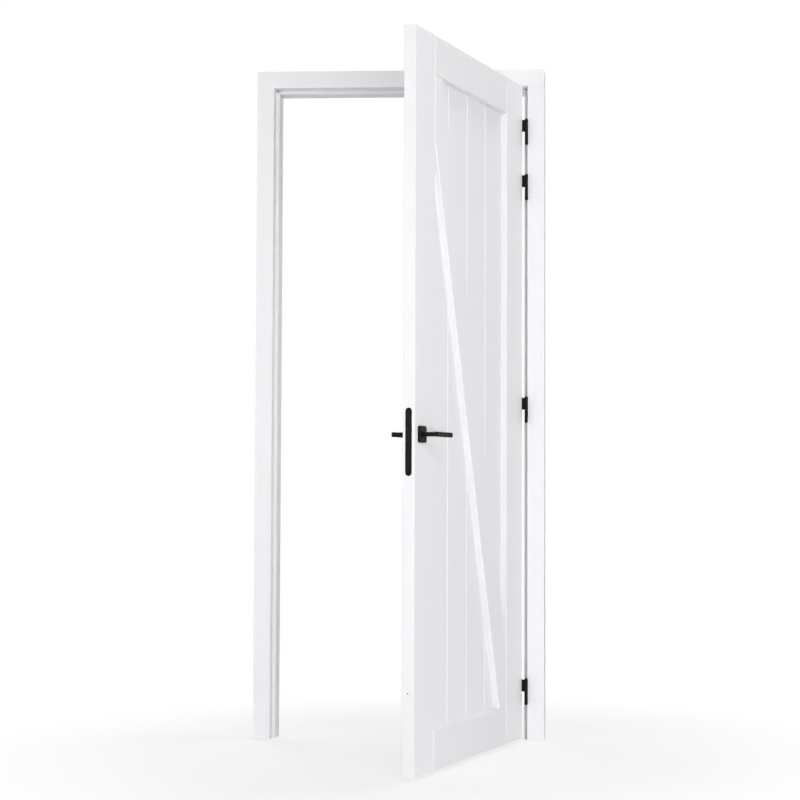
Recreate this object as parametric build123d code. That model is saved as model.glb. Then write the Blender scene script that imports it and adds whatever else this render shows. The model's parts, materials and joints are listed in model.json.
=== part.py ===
from build123d import *
import os
from math import atan2, cos, sin

# Country style interior door: a boarded and braced leaf in a rebated timber frame.
# Millimetres, +Z up. The origin is on the outer side of the hinge jamb, at floor level and
# in the middle of the frame's depth. The leaf opens towards -Y and its hinges are at +X.

# Frame
rebate_width = 913
rebate_height = 2330
frame_face = 60
frame_depth = 114
stop_proud = 12
stop_notch_height = 4.5
stop_notch_depth = 15
frame_arris = 1.5

# Gaps round the closed leaf
hinge_gap = 5
lock_gap = 7
top_gap = 5
stop_gap = 5
floor_gap = 12

# Leaf
leaf_thickness = 40
stile_width = 148
rail_height = 125
board_thickness = 20
board_lap = 8
board_count = 4
v_groove = 3
panel_arris = 3
tongue_thickness = 6
tongue_length = 6
tongue_clearance = 0.2
brace_width = 118
leaf_arris = 1.5
tenon_length = 60
tenon_shoulder = 6
tenon_haunch = 30
tenon_clearance = 0.2
open_angle = 71.5

# Lift-off hinges: the upper half is on the leaf, the lower half and its pin on the frame
end_hinge_inset = 163     # from the leaf's foot and top to the middle of the end hinges
second_hinge_drop = 199   # from the top hinge down to the one below it
hinge_length = 94.8
knuckle_radius = 6
knuckle_taper = 5
knuckle_shoulder_radius = 5.2
knuckle_tip_radius = 3
knuckle_gap = 0.3
axis_proud = 15
plate_thickness = 2.5
plate_width = 30
plate_corner = 4
plate_clearance = 0.2
pin_radius = 3
pin_length = 60
pin_clearance = 0.08

# Lock edge
backset = 50
spindle_height = 1044
forend_width = 22
forend_length = 210
forend_above_spindle = 81
forend_thickness = 3
forend_clearance = 0.2
latch_above_spindle = 23
latch_height = 19
latch_width = 12
latch_length = 28
latch_clearance = 0.3

# Lever handles
rose_side = 52
rose_thickness = 7
rose_corner = 8
rose_edge = 0.8
spindle_side = 8
spindle_clearance = 0.05
spindle_insertion = 30
follower_radius = 10
journal_radius = 9.5
journal_clearance = 0.08
journal_gap = 0.3
lever_projection = 59
lever_reach = 109
lever_height = 15
collar_length = 3
neck_radius = 7
arm_thickness = 10
lever_edge = 1.8
lever_inner_edge = 0.4

# Planes that follow from the sizes above, with the leaf closed
front_y = -frame_depth / 2
back_y = frame_depth / 2
rebate_depth = leaf_thickness + stop_gap
stop_y = front_y + rebate_depth
hinge_wall_x = -frame_face
lock_wall_x = hinge_wall_x - rebate_width
outer_lock_x = lock_wall_x - frame_face
leaf_hinge_x = hinge_wall_x - hinge_gap
leaf_lock_x = lock_wall_x + lock_gap
leaf_bottom = floor_gap
leaf_top = rebate_height - top_gap
leaf_back_y = front_y + leaf_thickness
board_front_y = leaf_back_y - board_thickness
panel_lock_x = leaf_lock_x + stile_width
panel_hinge_x = leaf_hinge_x - stile_width
panel_bottom = leaf_bottom + rail_height
panel_top = leaf_top - rail_height
axis_x = hinge_wall_x - hinge_gap / 2
axis_y = front_y - axis_proud
spindle_x = leaf_lock_x + backset
spindle_z = leaf_bottom + spindle_height
leaf_centre_y = (front_y + leaf_back_y) / 2
hinge_axis = Axis((axis_x, axis_y, 0), (0, 0, 1))
hinge_levels = [
    leaf_bottom + end_hinge_inset,
    (leaf_bottom + leaf_top) / 2,
    leaf_top - end_hinge_inset - second_hinge_drop,
    leaf_top - end_hinge_inset,
]


# Shared shapes

def block(x_span, y_span, z_span):
    """A box between two limits along each axis."""
    spans = (x_span, y_span, z_span)
    sizes = [high - low for low, high in spans]
    middle = [(high + low) / 2 for low, high in spans]
    return Pos(*middle) * Box(*sizes)


def upright(outline, z_span):
    """Extrude an outline drawn in plan between two heights."""
    section = Polygon(*outline, align=None)
    return extrude(Plane.XY.offset(z_span[0]) * section, amount=z_span[1] - z_span[0], dir=(0, 0, 1))


def along_x(sketch, x_span):
    """Extrude a sketch drawn in Y and Z between two places along X."""
    return extrude(Plane.YZ.offset(x_span[0]) * sketch, amount=x_span[1] - x_span[0], dir=(1, 0, 0))


def along_y(sketch, y_span):
    """Extrude a sketch drawn in X and Z between two places along Y."""
    return extrude(Plane.XZ.offset(-y_span[1]) * sketch, amount=y_span[1] - y_span[0], dir=(0, -1, 0))


def edges_on(shape, axis, place):
    """The edges that lie wholly in the plane at a place along an axis."""
    return shape.edges().filter_by_position(axis, place, place)


# Frame

def jamb_outline(outer_x, wall_x, inward):
    """Plan section of a jamb; inward is the direction of the doorway along X."""
    stop_x = wall_x + inward * stop_proud
    nick = frame_arris
    return [
        (outer_x, front_y),
        (wall_x - inward * nick, front_y),
        (wall_x, front_y + nick),
        (wall_x, stop_y),
        (stop_x - inward * nick, stop_y),
        (stop_x, stop_y + nick),
        (stop_x, back_y),
        (outer_x, back_y),
    ]


def stop_notch(wall_x, inward):
    """The small blind notch at the top of a jamb's stop, just under the head."""
    return block(
        sorted((wall_x, wall_x + inward * stop_proud)),
        (stop_y, stop_y + stop_notch_depth),
        (rebate_height - stop_notch_height, rebate_height),
    )


def make_lock_jamb():
    jamb = upright(jamb_outline(outer_lock_x, lock_wall_x, 1), (0, rebate_height))
    return jamb - stop_notch(lock_wall_x, 1)


def make_hinge_jamb():
    jamb = upright(jamb_outline(0, hinge_wall_x, -1), (0, rebate_height))
    jamb -= stop_notch(hinge_wall_x, -1)
    for level in hinge_levels:
        jamb -= plate_mortise(level, -1)
    return jamb


def make_head():
    """The head lies on both jambs, and its stop hangs between theirs."""
    nick = frame_arris
    front_part = block((outer_lock_x, 0), (front_y, back_y), (rebate_height, rebate_height + frame_face))
    lower_edges = edges_on(front_part, Axis.Z, rebate_height).filter_by(Axis.X)
    front_part = chamfer(lower_edges.sort_by(Axis.Y)[0], nick)
    stop_section = Polygon(
        (stop_y, rebate_height),
        (stop_y, rebate_height - stop_proud + nick),
        (stop_y + nick, rebate_height - stop_proud),
        (back_y, rebate_height - stop_proud),
        (back_y, rebate_height),
        align=None,
    )
    stop_span = (lock_wall_x + stop_proud, hinge_wall_x - stop_proud)
    return front_part + along_x(stop_section, stop_span)


# Hinges

def plate_outline(level, up, margin):
    """A hinge plate in Y and Z, with its far corners rounded; up is 1 for the upper half."""
    low = knuckle_gap / 2
    high = hinge_length / 2 - knuckle_taper
    depth = axis_proud + plate_width + 2 * margin
    middle_z = level + up * (low + high) / 2
    outline = Rectangle(depth, high - low + 2 * margin)
    far_corners = outline.vertices().group_by(Axis.X)[-1]
    outline = fillet(far_corners, plate_corner)
    return Pos(axis_y + depth / 2 - margin, middle_z) * outline


def plate_span(up):
    """Where a plate lies along X: flush with the leaf's edge, or with the rebate wall."""
    if up > 0:
        return (leaf_hinge_x - plate_thickness, leaf_hinge_x)
    return (hinge_wall_x, hinge_wall_x + plate_thickness)


def plate_mortise(level, up):
    """The shallow recess that a hinge plate is let into."""
    return along_x(plate_outline(level, up, plate_clearance), plate_span(up))


def make_knuckle():
    """Half a hinge's barrel, standing on the middle plane, with a turned end of two tapers."""
    length = hinge_length / 2
    foot = knuckle_gap / 2
    outline = [(0, foot), (knuckle_radius, foot), (knuckle_radius, length - knuckle_taper)]
    outline += [(knuckle_shoulder_radius, length - knuckle_taper / 2), (knuckle_tip_radius, length)]
    outline += [(0, length)]
    return revolve(Plane.XZ * Polygon(*outline, align=None), Axis.Z)


def make_hinge_half(level, up):
    """A barrel half with its plate and the hole for the pin; up is 1 for the upper half."""
    barrel = make_knuckle()
    if up < 0:
        barrel = mirror(barrel, Plane.XY)
    place = Pos(axis_x, axis_y, level)
    plate = along_x(plate_outline(level, up, 0), plate_span(up))
    bore = place * Cylinder(pin_radius + pin_clearance, pin_length + 2 * pin_clearance)
    return place * barrel + plate - bore


def make_pin(level):
    return Pos(axis_x, axis_y, level) * Cylinder(pin_radius, pin_length)


# Leaf, built closed

def stile_outline(edge_x, inward, lap):
    """Plan section of a stile; the boards' rebate is lap deep on its inner back edge."""
    inner_x = edge_x + inward * stile_width
    back_x = inner_x - inward * lap
    nick = leaf_arris
    return [
        (edge_x + inward * nick, front_y),
        (inner_x - inward * panel_arris, front_y),
        (inner_x, front_y + panel_arris),
        (inner_x, board_front_y),
        (back_x, board_front_y),
        (back_x, leaf_back_y - v_groove),
        (back_x - inward * v_groove, leaf_back_y),
        (edge_x + inward * nick, leaf_back_y),
        (edge_x, leaf_back_y - nick),
        (edge_x, front_y + nick),
    ]


def make_stile(edge_x, inward):
    """A stile whose board rebate stops at the top rail."""
    rebate_top = panel_top + board_lap
    lower = upright(stile_outline(edge_x, inward, board_lap), (leaf_bottom, rebate_top))
    upper = upright(stile_outline(edge_x, inward, 0), (rebate_top, leaf_top))
    for tenon_span in (top_tenon_span(), bottom_tenon_span()):
        upper -= tenon_pair(tenon_span, tenon_clearance)
        lower -= tenon_pair(tenon_span, tenon_clearance)
    return lower + upper


def top_tenon_span():
    """Where the top rail's tenons lie along Y and Z: shouldered on both faces, haunched at the top."""
    y_span = (front_y + 2 * tenon_shoulder, leaf_back_y - 2 * tenon_shoulder)
    return y_span, (panel_top + board_lap + tenon_shoulder, leaf_top - tenon_haunch)


def bottom_tenon_span():
    """Where the bottom rail's tenons lie along Y and Z, in the middle of its own thickness."""
    y_span = (front_y + tenon_shoulder, board_front_y - tenon_shoulder)
    return y_span, (leaf_bottom + tenon_haunch, panel_bottom - tenon_shoulder)


def tenon_pair(span, margin):
    """A rail's two tenons, or with a margin the mortises that take them."""
    (low_y, high_y), (low_z, high_z) = span
    reach = tenon_length + margin
    return block(
        (panel_lock_x - reach, panel_hinge_x + reach),
        (low_y - margin, high_y + margin),
        (low_z - margin, high_z + margin),
    )


def forend_outline(margin):
    """A forend with full round ends, in Y and Z."""
    middle_z = spindle_z + forend_above_spindle - forend_length / 2
    slot = SlotOverall(forend_length + 2 * margin, forend_width + 2 * margin, rotation=90)
    return Pos(leaf_centre_y, middle_z) * slot


def latch_window(margin):
    """The latch bolt's section in Y and Z."""
    window = Rectangle(latch_width + 2 * margin, latch_height + 2 * margin)
    return Pos(leaf_centre_y, spindle_z + latch_above_spindle) * window


def make_lock_stile():
    stile = make_stile(leaf_lock_x, 1)
    stile -= along_x(forend_outline(forend_clearance), (leaf_lock_x, leaf_lock_x + forend_thickness))
    pocket_end = leaf_lock_x + latch_length + latch_clearance
    stile -= along_x(latch_window(latch_clearance), (leaf_lock_x, pocket_end))
    follower = Pos(spindle_x, spindle_z) * Circle(follower_radius)
    return stile - along_y(follower, (front_y, leaf_back_y))


def make_hinge_stile():
    stile = make_stile(leaf_hinge_x, -1)
    for level in hinge_levels:
        stile -= plate_mortise(level, 1)
    return stile


def make_top_rail():
    """The top rail laps the boards' upper ends on its front half."""
    lap_z = panel_top + board_lap
    section = Polygon(
        (front_y, panel_top + panel_arris),
        (front_y + panel_arris, panel_top),
        (board_front_y, panel_top),
        (board_front_y, lap_z),
        (leaf_back_y - v_groove, lap_z),
        (leaf_back_y, lap_z + v_groove),
        (leaf_back_y, leaf_top),
        (front_y, leaf_top),
        align=None,
    )
    rail = along_x(section, (panel_lock_x, panel_hinge_x))
    rail = chamfer(rail_end_edges(rail, front_y) + rail_end_edges(rail, leaf_back_y), panel_arris)
    return rail + tenon_pair(top_tenon_span(), 0)


def make_bottom_rail():
    """The bottom rail is only as thick as the brace, and the boards run down behind it."""
    section = Polygon(
        (front_y, leaf_bottom),
        (front_y, panel_bottom - panel_arris),
        (front_y + panel_arris, panel_bottom),
        (board_front_y, panel_bottom),
        (board_front_y, leaf_bottom),
        align=None,
    )
    rail = along_x(section, (panel_lock_x, panel_hinge_x))
    return chamfer(rail_end_edges(rail, front_y), panel_arris) + tenon_pair(bottom_tenon_span(), 0)


def rail_end_edges(rail, face_y):
    """The upright edges at both ends of a rail, on one face."""
    return edges_on(rail, Axis.Y, face_y).filter_by(Axis.Z)


def make_brace():
    """The brace runs along the panel's diagonal and is cut to the stiles and rails."""
    width = panel_hinge_x - panel_lock_x
    height = panel_top - panel_bottom
    slope = atan2(height, width)
    half_x = brace_width / 2 / sin(slope)
    half_z = brace_width / 2 / cos(slope)
    outline = Polygon(
        (panel_lock_x, panel_top),
        (panel_lock_x, panel_top - half_z),
        (panel_hinge_x - half_x, panel_bottom),
        (panel_hinge_x, panel_bottom),
        (panel_hinge_x, panel_bottom + half_z),
        (panel_lock_x + half_x, panel_top),
        align=None,
    )
    brace = along_y(outline, (front_y, board_front_y))
    return chamfer(edges_on(brace, Axis.Y, front_y), panel_arris)


def board_outline(index):
    """Plan section of a board, with V-jointed edges, a tongue at +X and a groove at -X."""
    first_x = panel_lock_x - board_lap
    pitch = (panel_hinge_x - panel_lock_x + 2 * board_lap) / board_count
    low_x = first_x + index * pitch
    high_x = low_x + pitch
    tongue_y = (board_front_y + leaf_back_y) / 2
    half_tongue = tongue_thickness / 2
    half_groove = half_tongue + tongue_clearance
    points = [(low_x + v_groove, board_front_y), (high_x - v_groove, board_front_y)]
    points.append((high_x, board_front_y + v_groove))
    if index < board_count - 1:
        tip_x = high_x + tongue_length
        points += [
            (high_x, tongue_y - half_tongue),
            (tip_x, tongue_y - half_tongue),
            (tip_x, tongue_y + half_tongue),
            (high_x, tongue_y + half_tongue),
        ]
    points += [(high_x, leaf_back_y - v_groove), (high_x - v_groove, leaf_back_y)]
    points += [(low_x + v_groove, leaf_back_y), (low_x, leaf_back_y - v_groove)]
    if index > 0:
        root_x = low_x + tongue_length + tongue_clearance
        points += [
            (low_x, tongue_y + half_groove),
            (root_x, tongue_y + half_groove),
            (root_x, tongue_y - half_groove),
            (low_x, tongue_y - half_groove),
        ]
    points.append((low_x, board_front_y + v_groove))
    return points


def make_board(index):
    return upright(board_outline(index), (leaf_bottom, panel_top + board_lap))


# Lock edge and handles, built closed

def make_forend():
    plate = along_x(forend_outline(0), (leaf_lock_x, leaf_lock_x + forend_thickness))
    return plate - along_x(latch_window(latch_clearance), (leaf_lock_x, leaf_lock_x + forend_thickness))


def make_latch_bolt():
    return along_x(latch_window(0), (leaf_lock_x, leaf_lock_x + latch_length))


def make_rose(face_y, outward):
    """A square rose; outward is the direction away from the leaf along Y."""
    outline = RectangleRounded(rose_side, rose_side, rose_corner) - Circle(journal_radius + journal_clearance)
    outer_y = face_y + outward * rose_thickness
    span = (min(face_y, outer_y), max(face_y, outer_y))
    rose = along_y(Pos(spindle_x, spindle_z) * outline, span)
    bore = rose.edges().filter_by(GeomType.CIRCLE).group_by(SortBy.RADIUS)[-1]
    return chamfer(edges_on(rose, Axis.Y, outer_y) - bore, rose_edge)


def make_lever(face_y, outward):
    """A lever of square section on a round neck, with a journal that turns in the rose."""
    outer_y = face_y + outward * lever_projection
    inner_y = outer_y - outward * arm_thickness
    arm = block(
        (spindle_x - lever_height / 2, spindle_x + lever_reach),
        sorted((inner_y, outer_y)),
        (spindle_z - lever_height / 2, spindle_z + lever_height / 2),
    )
    arm = chamfer(arm.edges() - edges_on(arm, Axis.Y, inner_y), lever_edge)
    arm = chamfer(edges_on(arm, Axis.Y, inner_y), lever_inner_edge)
    return arm + make_neck(face_y, outward) - make_spindle_hole()


def make_neck(face_y, outward):
    """The journal, its collar outside the rose, and the neck, which runs well into the arm."""
    collar_level = rose_thickness + collar_length
    end_level = lever_projection - arm_thickness / 2
    outline = [
        (0, journal_gap),
        (journal_radius, journal_gap),
        (journal_radius, collar_level),
        (neck_radius, collar_level),
        (neck_radius, end_level),
        (0, end_level),
    ]
    neck = revolve(Plane.XZ * Polygon(*outline, align=None), Axis.Z)
    return Pos(spindle_x, face_y, spindle_z) * neck.rotate(Axis.X, -90 * outward)


def spindle_reach():
    """How far the spindle runs past each face of the leaf."""
    return leaf_thickness / 2 + spindle_insertion


def make_spindle_hole():
    side = spindle_side + 2 * spindle_clearance
    hole = Pos(spindle_x, spindle_z) * Rectangle(side, side)
    reach = spindle_reach() + spindle_clearance
    return along_y(hole, (leaf_centre_y - reach, leaf_centre_y + reach))


def make_spindle():
    bar = Pos(spindle_x, spindle_z) * Rectangle(spindle_side, spindle_side)
    return along_y(bar, (leaf_centre_y - spindle_reach(), leaf_centre_y + spindle_reach()))


# Whole door

def frame_pieces():
    pieces = {
        "head": make_head(),
        "lock_jamb": make_lock_jamb(),
        "hinge_jamb": make_hinge_jamb(),
    }
    for number, level in enumerate(hinge_levels, 1):
        pieces[f"frame_hinge_{number}"] = make_hinge_half(level, -1)
        pieces[f"hinge_pin_{number}"] = make_pin(level)
    return pieces


def leaf_pieces():
    pieces = {
        "lock_stile": make_lock_stile(),
        "hinge_stile": make_hinge_stile(),
        "top_rail": make_top_rail(),
        "bottom_rail": make_bottom_rail(),
        "brace": make_brace(),
        "forend_plate": make_forend(),
        "latch_bolt": make_latch_bolt(),
        "rose_front": make_rose(front_y, -1),
        "rose_back": make_rose(leaf_back_y, 1),
        "lever_front": make_lever(front_y, -1),
        "lever_back": make_lever(leaf_back_y, 1),
        "spindle": make_spindle(),
    }
    for index in range(board_count):
        pieces[f"board_{index + 1}"] = make_board(index)
    for number, level in enumerate(hinge_levels, 1):
        pieces[f"leaf_hinge_{number}"] = make_hinge_half(level, 1)
    return pieces


def main():
    os.makedirs("parts", exist_ok=True)
    pieces = frame_pieces()
    for name, piece in leaf_pieces().items():
        pieces[name] = piece.rotate(hinge_axis, open_angle)
    for name, piece in pieces.items():
        export_step(piece, f"parts/{name}.step")


main()
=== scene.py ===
import json
from math import atan2, cos, pi, radians, sin

import bmesh
import bpy
from mathutils import Matrix, Vector


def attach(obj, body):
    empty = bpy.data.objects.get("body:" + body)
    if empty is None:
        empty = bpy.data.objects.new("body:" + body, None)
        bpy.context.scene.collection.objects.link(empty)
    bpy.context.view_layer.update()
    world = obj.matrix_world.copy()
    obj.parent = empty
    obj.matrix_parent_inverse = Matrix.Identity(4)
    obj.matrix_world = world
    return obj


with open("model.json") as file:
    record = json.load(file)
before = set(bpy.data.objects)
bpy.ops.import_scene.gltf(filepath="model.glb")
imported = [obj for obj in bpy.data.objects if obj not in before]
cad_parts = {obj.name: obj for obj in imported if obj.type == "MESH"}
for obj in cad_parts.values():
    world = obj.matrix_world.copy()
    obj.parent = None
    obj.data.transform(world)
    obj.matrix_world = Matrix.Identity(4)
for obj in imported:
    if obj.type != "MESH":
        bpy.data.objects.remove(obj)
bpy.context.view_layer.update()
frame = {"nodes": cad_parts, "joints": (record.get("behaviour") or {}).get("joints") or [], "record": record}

# Looks of a white painted, boarded and braced door on a white ground. Metres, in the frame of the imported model.

# Camera: nearly level and square on to the frame, with the optical centre right of the door and below its middle
image_px = 800
sensor_mm = 36
focal_px = 1747
camera_place = Vector((0.2411, -6.2533, 0.8866))
optical_centre_px = Vector((551.0, 409.9))
pan = radians(2)
pitch = radians(2.6)
view_reach = 100

# The leaf's swing, from the record
swing = next(joint for joint in frame["joints"] if joint["name"] == "leaf_swing")
open_angle = -radians(swing["range_deg"][0])
hinge_axis = Vector(swing["pos_m"])


def turned(point):
    """A point on the closed leaf, where it lies with the leaf open at rest."""
    spun = Matrix.Rotation(open_angle, 3, "Z") @ (Vector(point) - hinge_axis)
    return spun + hinge_axis


def closed_points(node):
    """The corners of a leaf node with the leaf closed."""
    unturn = Matrix.Rotation(-open_angle, 3, "Z")
    return [unturn @ (vertex.co - hinge_axis) + hinge_axis for vertex in frame["nodes"][node].data.vertices]


def closed_box(node):
    """Lowest and highest corner of a leaf node with the leaf closed."""
    points = closed_points(node)
    low = Vector([min(point[axis] for point in points) for axis in range(3)])
    high = Vector([max(point[axis] for point in points) for axis in range(3)])
    return low, high


def slot_of(node):
    """The record's material slot of a node."""
    return next(row["material_slot"] for row in frame["record"]["subparts"] if row["node"] == node)


# Materials

def new_material(name):
    """A material with its nodes, its links and its shader."""
    material = bpy.data.materials.new(name)
    material.use_nodes = True
    nodes = material.node_tree.nodes
    return material, nodes, material.node_tree.links, nodes["Principled BSDF"]


def noise(nodes, links, vector, scale, detail, distortion=0.0):
    """A noise texture read at the given vector."""
    node = nodes.new("ShaderNodeTexNoise")
    node.inputs["Scale"].default_value = scale
    node.inputs["Detail"].default_value = detail
    node.inputs["Distortion"].default_value = distortion
    links.new(vector, node.inputs["Vector"])
    return node.outputs["Fac"]


def remap(nodes, links, value, low, high, start=0.35, end=0.65, way="LINEAR"):
    """A value that runs from low to high while the given one runs from start to end."""
    node = nodes.new("ShaderNodeMapRange")
    node.interpolation_type = way
    node.inputs["From Min"].default_value = start
    node.inputs["From Max"].default_value = end
    node.inputs["To Min"].default_value = low
    node.inputs["To Max"].default_value = high
    links.new(value, node.inputs["Value"])
    return node.outputs["Result"]


def combine(nodes, links, operation, first, second):
    """One value worked out from two others."""
    node = nodes.new("ShaderNodeMath")
    node.operation = operation
    links.new(first, node.inputs[0])
    links.new(second, node.inputs[1])
    return node.outputs["Value"]


def mix_colour(nodes, links, factor, first, second):
    """A blend of two fixed colours."""
    node = nodes.new("ShaderNodeMix")
    node.data_type = "RGBA"
    node.inputs["A"].default_value = (*first, 1)
    node.inputs["B"].default_value = (*second, 1)
    links.new(factor, node.inputs["Factor"])
    return node.outputs["Result"]


def bump(nodes, links, height, distance, strength, under=None):
    """A bump from a height, on top of another bump if one is given."""
    node = nodes.new("ShaderNodeBump")
    node.inputs["Distance"].default_value = distance
    node.inputs["Strength"].default_value = strength
    links.new(height, node.inputs["Height"])
    if under:
        links.new(under, node.inputs["Normal"])
    return node.outputs["Normal"]


def object_space(nodes):
    """Coordinates that stay with the piece, in metres."""
    return nodes.new("ShaderNodeTexCoord").outputs["Object"]


def grain_space(nodes, links, turn, lean):
    """Object coordinates turned so that Z runs along the grain: turn is about Z, then lean is about Y."""
    upright = nodes.new("ShaderNodeMapping")
    upright.inputs["Rotation"].default_value = (0, 0, -turn)
    links.new(object_space(nodes), upright.inputs["Vector"])
    along = nodes.new("ShaderNodeMapping")
    along.inputs["Rotation"].default_value = (0, -lean, 0)
    links.new(upright.outputs["Vector"], along.inputs["Vector"])
    return along.outputs["Vector"]


def stretched(nodes, links, vector, across, along):
    """Coordinates scaled unevenly, so that a texture runs along Z."""
    node = nodes.new("ShaderNodeMapping")
    node.inputs["Scale"].default_value = (across, across, along)
    links.new(vector, node.inputs["Vector"])
    return node.outputs["Vector"]


# Paint: marks to a metre, across the grain and along it where two are given, and depths in metres
brush_marks, brush_depth = (420, 5), 0.00007
grain_marks, grain_depth = (70, 2.2), 0.00018
spray_marks, spray_depth = 900, 0.00003
cloud_marks, cloud_shade = 3.5, 0.975
paint_roughness = (0.4, 0.5)
paint_specular = 0.4
paint_relief = 0.5


def painted_wood(name, colour, turn=0.0, lean=0.0):
    """Satin paint: faint brush marks and grain run along the piece, over a fine sprayed texture."""
    material, nodes, links, shader = new_material(name)
    space = grain_space(nodes, links, turn, lean)
    brush = noise(nodes, links, stretched(nodes, links, space, *brush_marks), 1, detail=3)
    grain = noise(nodes, links, stretched(nodes, links, space, *grain_marks), 1, detail=4, distortion=0.6)
    spray = noise(nodes, links, space, spray_marks, detail=1)
    cloud = noise(nodes, links, space, cloud_marks, detail=3)
    darker = [channel * cloud_shade for channel in colour]
    links.new(mix_colour(nodes, links, cloud, colour, darker), shader.inputs["Base Color"])
    links.new(remap(nodes, links, brush, *paint_roughness), shader.inputs["Roughness"])
    shader.inputs["Specular IOR Level"].default_value = paint_specular
    relief = None
    for height, depth in ((grain, grain_depth), (brush, brush_depth), (spray, spray_depth)):
        relief = bump(nodes, links, height, depth, paint_relief, relief)
    links.new(relief, shader.inputs["Normal"])
    return material


# Powder coat: marks to a metre, depth in metres
coat_marks, coat_depth, coat_relief = 1400, 0.00004, 0.6
coat_cloud_marks = 60
coat_roughness = (0.4, 0.54)
coat_specular = 0.1
coat_gain, coat_lift = 1.4, 0.001


def powder_coat(name, colour):
    """Matt black powder coat with its fine orange peel."""
    material, nodes, links, shader = new_material(name)
    place = object_space(nodes)
    peel = noise(nodes, links, place, coat_marks, detail=2)
    cloud = noise(nodes, links, place, coat_cloud_marks, detail=3)
    lighter = [channel * coat_gain + coat_lift for channel in colour]
    links.new(mix_colour(nodes, links, cloud, colour, lighter), shader.inputs["Base Color"])
    links.new(remap(nodes, links, cloud, *coat_roughness), shader.inputs["Roughness"])
    shader.inputs["Specular IOR Level"].default_value = coat_specular
    links.new(bump(nodes, links, peel, coat_depth, coat_relief), shader.inputs["Normal"])
    return material


# Zinc plating: turning marks to a metre, across the pin and along it, and depth in metres
zinc_marks, zinc_depth, zinc_relief = (30, 2500), 0.00002, 0.5
zinc_dull, zinc_bright = (0.5, 0.5, 0.52), (0.62, 0.61, 0.6)
zinc_roughness = (0.28, 0.42)


def plated_steel(name):
    """Dull zinc-plated steel with fine turning marks."""
    material, nodes, links, shader = new_material(name)
    rings = noise(nodes, links, stretched(nodes, links, object_space(nodes), *zinc_marks), 1, detail=2)
    links.new(mix_colour(nodes, links, rings, zinc_dull, zinc_bright), shader.inputs["Base Color"])
    shader.inputs["Metallic"].default_value = 1
    links.new(remap(nodes, links, rings, *zinc_roughness), shader.inputs["Roughness"])
    links.new(bump(nodes, links, rings, zinc_depth, zinc_relief), shader.inputs["Normal"])
    return material


def assign(obj, material):
    """Give an object one material, in place of its own."""
    obj.data.materials.clear()
    obj.data.materials.append(material)


# Colours, in linear light
frame_white = (0.83, 0.828, 0.845)
leaf_white = (0.825, 0.818, 0.843)
# The rails' white is the leaf's own paint made a little darker: painted shade on the level rails, which carry the
# same paint as the stiles
rail_white_painted_shade = (0.8, 0.793, 0.818)
black = (0.004, 0.004, 0.0052)


def brace_lean():
    """How far the brace leans from upright, from its own box."""
    low, high = closed_box("brace")
    return -atan2(high.x - low.x, high.z - low.z)


def finish_nodes():
    """Give every CAD node its finish, with the grain along each piece of wood. Returns the finishes."""
    level = pi / 2
    woods = {
        "head": painted_wood("frame_white_level", frame_white, 0, level),
        "lock_jamb": painted_wood("frame_white_upright", frame_white),
        # The rails take the darker white, painted shade on the level pieces of the leaf
        "top_rail": painted_wood("leaf_white_level_painted_shade", rail_white_painted_shade, open_angle, level),
        "lock_stile": painted_wood("leaf_white_upright", leaf_white, open_angle),
        "brace": painted_wood("leaf_white_leaning", leaf_white, open_angle, brace_lean()),
    }
    woods["hinge_jamb"] = woods["lock_jamb"]
    woods["hinge_stile"] = woods["lock_stile"]
    woods["bottom_rail"] = woods["top_rail"]
    metals = {
        "hinge_black": powder_coat("hinge_powder_coat", black),
        "handle_black": powder_coat("handle_powder_coat", black),
        "bright_steel": plated_steel("zinc_plated_steel"),
    }
    for name, node in frame["nodes"].items():
        slot = slot_of(name)
        assign(node, woods.get(name) or metals.get(slot) or woods["lock_stile"])
    return woods, metals


# The fillet on the bottom rail: its height, how far it stays behind the rail's face, how far it runs into the
# brace's foot, and the height of the foot's corners that it looks for
bevel_rise = 0.006
bevel_setback = 0.0029
bevel_overlap = 0.0005
foot_height = 0.001


def rail_bevel(material):
    """The sloped fillet on the bottom rail's top edge, from the boards to the rail's front arris."""
    low, high = closed_box("bottom_rail")
    brace = closed_points("brace")
    foot_level = min(point.z for point in brace) + foot_height
    lock_x = closed_box("lock_stile")[1].x
    brace_x = min(point.x for point in brace if point.z < foot_level) + bevel_overlap
    profile = ((high.y, high.z), (low.y + bevel_setback, high.z), (high.y, high.z + bevel_rise))
    corners = [turned((x, y, z)) for x in (lock_x, brace_x) for y, z in profile]
    faces = [(0, 1, 2), (5, 4, 3), (0, 3, 4, 1), (1, 4, 5, 2), (2, 5, 3, 0)]
    data = bpy.data.meshes.new("rail_bevel")
    data.from_pydata(corners, [], faces)
    bevel = bpy.data.objects.new("rail_bevel", data)
    bpy.context.scene.collection.objects.link(bevel)
    assign(bevel, material)
    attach(bevel, "leaf")


# Screws

screw_segments = 48
# Rings of a screw's head, as shares of its radius and of its height, from the foot up
head_rings = ((1, -0.5), (1, 0.1), (0.95, 0.6), (0.82, 0.92))


def cross_radius(angle, radius, arm_share=0.6, width_share=0.15):
    """Distance from a screw's middle to the rim of its cross-shaped recess."""
    arm, half_width = radius * arm_share, radius * width_share
    nearly_nothing = 1e-9
    across = abs(cos(angle)) or nearly_nothing
    up = abs(sin(angle)) or nearly_nothing
    level = min(arm / across, half_width / up)
    upright = min(half_width / across, arm / up)
    return max(level, upright)


def hexagon_radius(angle, radius, flat_share=0.5):
    """Distance from a screw's middle to the rim of its six-sided socket."""
    side = pi / 3
    return radius * flat_share / cos(angle % side - side / 2)


def ring_points(radii, angles, height):
    """A ring about Z with its own radius at each angle."""
    return [(radius * cos(angle), radius * sin(angle), height) for radius, angle in zip(radii, angles)]


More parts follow.
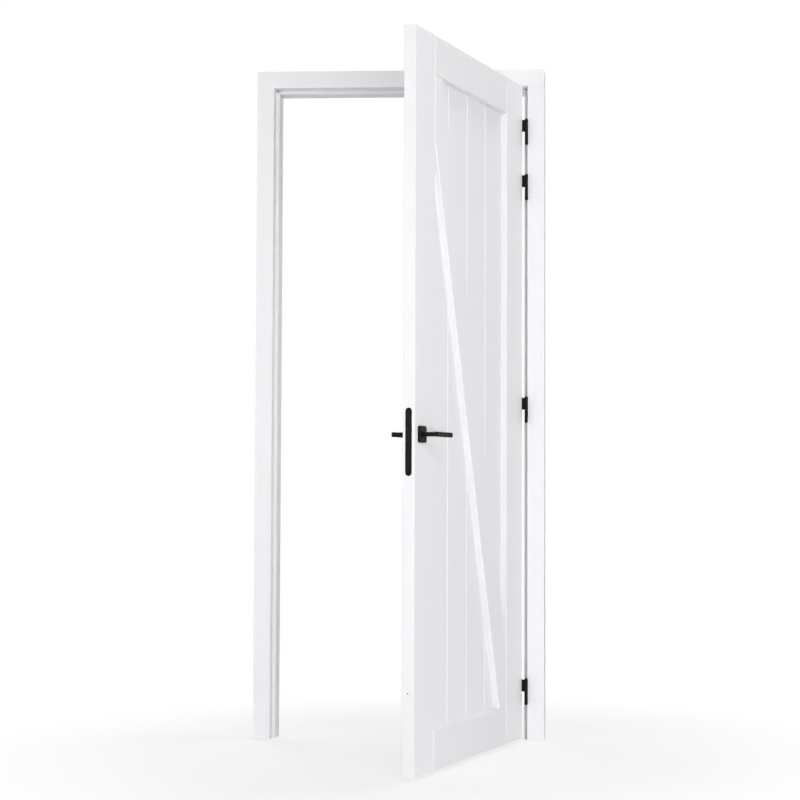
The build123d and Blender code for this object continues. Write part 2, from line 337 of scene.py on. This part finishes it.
def screw_head(name, place, outward, look, radius, proud, recess=cross_radius, floor=0.00006):
    """A raised head with a recess; outward is its normal, and look its material, body and slot, of which the slot
    is not used.
    """
    material, body, slot = look
    angles = [2 * pi * step / screw_segments for step in range(screw_segments)]
    rings = [ring_points([radius * share] * screw_segments, angles, proud * rise) for share, rise in head_rings]
    rim = [recess(angle, radius) for angle in angles]
    rings += [ring_points(rim, angles, height) for height in (proud, floor)]
    mesh = bmesh.new()
    loops = [[mesh.verts.new(point) for point in ring] for ring in rings]
    centre = mesh.verts.new((0, 0, floor))
    for step in range(screw_segments):
        after = (step + 1) % screw_segments
        for outer, inner in zip(loops, loops[1:]):
            mesh.faces.new((outer[step], outer[after], inner[after], inner[step]))
        mesh.faces.new((loops[-1][step], loops[-1][after], centre))
    data = bpy.data.meshes.new(name)
    mesh.to_mesh(data)
    mesh.free()
    head = bpy.data.objects.new(name, data)
    bpy.context.scene.collection.objects.link(head)
    head.matrix_world = Matrix.Translation(place) @ Vector(outward).to_track_quat("Z", "Y").to_matrix().to_4x4()
    assign(head, material)
    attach(head, body)


# Heads of each kind: radius and how proud they stand
forend_head = {"radius": 0.0042, "proud": 0.00045}
edge_head = {"radius": 0.0023, "proud": 0.0003}
plate_head = {"radius": 0.0035, "proud": 0.0004}
grub_head = {"radius": 0.0022, "proud": 0.0007, "recess": hexagon_radius, "floor": 0.00045}

# Out of the lock edge, with the leaf open at rest
leaf_edge_out = Matrix.Rotation(open_angle, 3, "Z") @ Vector((-1, 0, 0))
edge_screw_level = 0.264


def forend_screws(material):
    """Two screws at the centres of the forend's round ends, and a small one low down on the leaf's edge."""
    low, high = closed_box("forend_plate")
    end_radius = (high.y - low.y) / 2
    middle_y = (high.y + low.y) / 2
    look = (material, "leaf", "handle_black")
    for number, height in enumerate((low.z + end_radius, high.z - end_radius), 1):
        place = turned((low.x, middle_y, height))
        screw_head(f"forend_screw_{number}", place, leaf_edge_out, look, **forend_head)
    place = turned((low.x, middle_y, edge_screw_level))
    screw_head("edge_screw", place, leaf_edge_out, look, **edge_head)


# The gap between leaf and jamb, and the screws in the plates: place across the door, distance from the middle
hinge_gap = 0.005
plate_screw_places = ((-0.035, 0.0095), (-0.047, 0.0225), (-0.035, 0.0345))


def hinge_level(number):
    """The height of a hinge's middle, from its pin."""
    low, high = closed_box(f"hinge_pin_{number}")
    return (low.z + high.z) / 2


def hinge_screws(material):
    """Three screws in each hinge plate, above the hinge's middle on the leaf and below it on the frame."""
    leaf_edge_x = closed_box("hinge_stile")[1].x
    hinge_wall_x = leaf_edge_x + hinge_gap
    leaf_look = (material, "leaf", "hinge_black")
    frame_look = (material, "frame", "hinge_black")
    for number in range(1, 5):
        level = hinge_level(number)
        for index, (y, rise) in enumerate(plate_screw_places, 1):
            place = turned((leaf_edge_x, y, level + rise))
            screw_head(f"leaf_hinge_{number}_screw_{index}", place, -leaf_edge_out, leaf_look, **plate_head)
            place = (hinge_wall_x, y, level - rise)
            screw_head(f"frame_hinge_{number}_screw_{index}", place, (-1, 0, 0), frame_look, **plate_head)


# The lever's neck, how far off the leaf's face its screw sits, and how deep the screw's foot stays in the neck
neck_radius = 0.007
grub_reach = 0.017
grub_sink = 0.0004


def grub_screws(material):
    """A socket screw under the neck of each lever."""
    low, high = closed_box("spindle")
    middle = (low + high) / 2
    leaf_low, leaf_high = closed_box("lock_stile")
    places = {"front": leaf_low.y - grub_reach, "back": leaf_high.y + grub_reach}
    look = (material, "handle", "handle_black")
    for side, y in places.items():
        place = turned((middle.x, y, middle.z - neck_radius + grub_sink))
        screw_head(f"grub_screw_{side}", place, (0, 0, -1), look, **grub_head)


# Stage, lamps and camera

def add_lamp(name, place, target, width, height, watts):
    """A flat rectangular lamp turned towards its target."""
    data = bpy.data.lights.new(name, "AREA")
    data.shape = "RECTANGLE"
    data.size = width
    data.size_y = height
    data.energy = watts
    lamp = bpy.data.objects.new(name, data)
    lamp.location = place
    lamp.rotation_euler = (Vector(target) - Vector(place)).to_track_quat("-Z", "Y").to_euler()
    bpy.context.scene.collection.objects.link(lamp)


def make_world(light_level):
    """White where it is seen directly, by reflection or through glass, and a plain light level for the rest."""
    world = bpy.data.worlds.new("studio")
    bpy.context.scene.world = world
    world.use_nodes = True
    nodes, links = world.node_tree.nodes, world.node_tree.links
    rays = nodes.new("ShaderNodeLightPath").outputs
    seen = combine(nodes, links, "MAXIMUM", rays["Is Camera Ray"], rays["Is Glossy Ray"])
    seen = combine(nodes, links, "MAXIMUM", seen, rays["Is Transmission Ray"])
    background = nodes["Background"]
    background.inputs["Color"].default_value = (1, 1, 1, 1)
    links.new(remap(nodes, links, seen, light_level, 1, 0, 1), background.inputs["Strength"])


# Floor: half its side, how far it lies under the feet, and the ring around the door over which what the camera
# sees of it turns from mostly to only plain white
floor_half = 12
floor_drop = 0.0005
floor_white = (0.85, 0.85, 0.85, 1)
floor_roughness = 0.7
fade_centre = (-0.5, -0.3, 0)
fade_start, fade_end = 0.7, 1.7
glow_near, glow_far = 0.7, 1


def floor_material():
    """Matt white that keeps the door's shadow near it and glows plain white further off."""
    material, nodes, links, shader = new_material("studio_floor_white")
    shader.inputs["Base Color"].default_value = floor_white
    shader.inputs["Roughness"].default_value = floor_roughness
    glow = nodes.new("ShaderNodeEmission")
    glow.inputs["Color"].default_value = (1, 1, 1, 1)
    distance = nodes.new("ShaderNodeVectorMath")
    distance.operation = "DISTANCE"
    distance.inputs[1].default_value = fade_centre
    links.new(object_space(nodes), distance.inputs[0])
    fade = remap(nodes, links, distance.outputs["Value"], glow_near, glow_far, fade_start, fade_end, "SMOOTHSTEP")
    rays = nodes.new("ShaderNodeLightPath").outputs
    mixer = nodes.new("ShaderNodeMixShader")
    links.new(combine(nodes, links, "MULTIPLY", rays["Is Camera Ray"], fade), mixer.inputs["Fac"])
    links.new(shader.outputs[0], mixer.inputs[1])
    links.new(glow.outputs[0], mixer.inputs[2])
    links.new(mixer.outputs[0], nodes["Material Output"].inputs["Surface"])
    return material


def make_floor():
    """A pale floor just under the door's feet."""
    data = bpy.data.meshes.new("studio_floor")
    corners = [(x * floor_half, y * floor_half, 0) for x, y in ((-1, -1), (1, -1), (1, 1), (-1, 1))]
    data.from_pydata(corners, [], [(0, 1, 2, 3)])
    data.materials.append(floor_material())
    floor = bpy.data.objects.new("studio_floor", data)
    floor.location = (0, 0, -floor_drop)
    bpy.context.scene.collection.objects.link(floor)


def make_camera():
    """The photo's camera, shifted to where its optical centre lies in the picture."""
    data = bpy.data.cameras.new("camera")
    data.sensor_width = sensor_mm
    data.lens = focal_px / image_px * sensor_mm
    data.shift_x = 0.5 - optical_centre_px.x / image_px
    data.shift_y = optical_centre_px.y / image_px - 0.5
    data.clip_end = view_reach
    camera = bpy.data.objects.new("camera", data)
    camera.location = camera_place
    camera.rotation_euler = (pi / 2 + pitch, 0, pan)
    bpy.context.scene.collection.objects.link(camera)
    bpy.context.scene.camera = camera


bpy.context.scene.view_settings.view_transform = "Standard"
woods, metals = finish_nodes()
rail_bevel(woods["lock_stile"])
forend_screws(metals["handle_black"])
hinge_screws(metals["hinge_black"])
grub_screws(metals["handle_black"])
make_world(light_level=0.05)
make_floor()

# Lamps: place, target, width, height and watts
door_middle = (-0.5, -0.2, 1.2)
add_lamp("key_high", (1.6, -6.8, 4.2), door_middle, 2.5, 2.5, 177)
add_lamp("key_low", (1.6, -5.4, 0.5), (-0.4, -0.4, 0.9), 2.6, 0.8, 102)
add_lamp("front_left", (-3.5, -5.5, 2.0), door_middle, 2.6, 3.0, 86)
add_lamp("right", (4.5, -1.5, 1.6), door_middle, 2.5, 3.0, 36)
add_lamp("top_back", (0.6, 0.15, 5.0), (-0.2, -0.5, 0.1), 1.2, 1.2, 68)
add_lamp("back_left", (-4.0, 3.8, 2.2), door_middle, 3.0, 2.5, 158)

make_camera()
